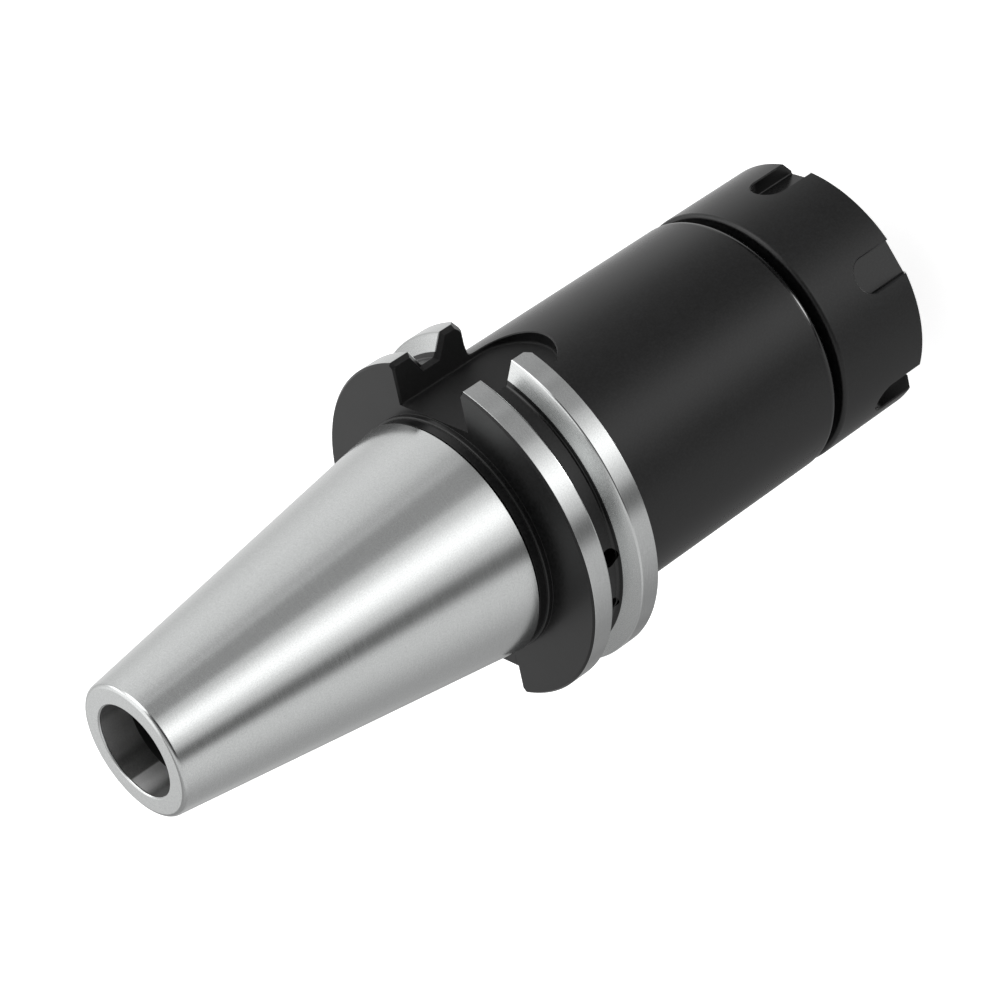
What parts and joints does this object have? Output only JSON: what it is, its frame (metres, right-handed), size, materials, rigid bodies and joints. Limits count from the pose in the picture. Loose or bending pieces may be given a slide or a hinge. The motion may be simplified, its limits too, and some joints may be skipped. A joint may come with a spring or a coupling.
{
  "type": "collet chuck holder",
  "caption": "Collet chuck on a steep ground taper shank, with a grooved drive flange, a round blackened body, a clamping nut with spanner slots and a slotted spring collet inside.",
  "frame": {"origin": "centre of the front face of the clamping nut, on which the chuck stands head down", "axes": "+Z along the chuck's axis, from the nut to the small end of the taper; +Y through the middle of the drive slot whose floor is lower; +X towards the main balance drilling in the gripper groove"},
  "size_m": [0.0636, 0.061, 0.1637],
  "materials": {
    "blackened_steel": "satin black oxide, with the taper and the flange rims ground bright",
    "blackened_nut_steel": "satin black oxide",
    "ground_steel": "fine ground spring steel"
  },
  "bodies": {
    "holder": {"holder_body": "blackened_steel"},
    "collet": {"spring_collet": "ground_steel"},
    "nut": {"clamping_nut": "blackened_nut_steel"}
  },
  "joints": [
    {"name": "collet_draw", "type": "slide", "parent": "holder", "child": "collet", "axis": [0, 0, -1], "range_m": [0, 0.0121]},
    {"name": "nut_turn", "type": "hinge", "parent": "collet", "child": "nut", "pos_m": [0, 0, 0.01], "axis": [0, 0, -1], "range_deg": [0, 2880]}
  ],
  "couplings": [
    {"joint": "collet_draw", "follows": "nut_turn", "m_per_rad": 0.00023873}
  ]
}
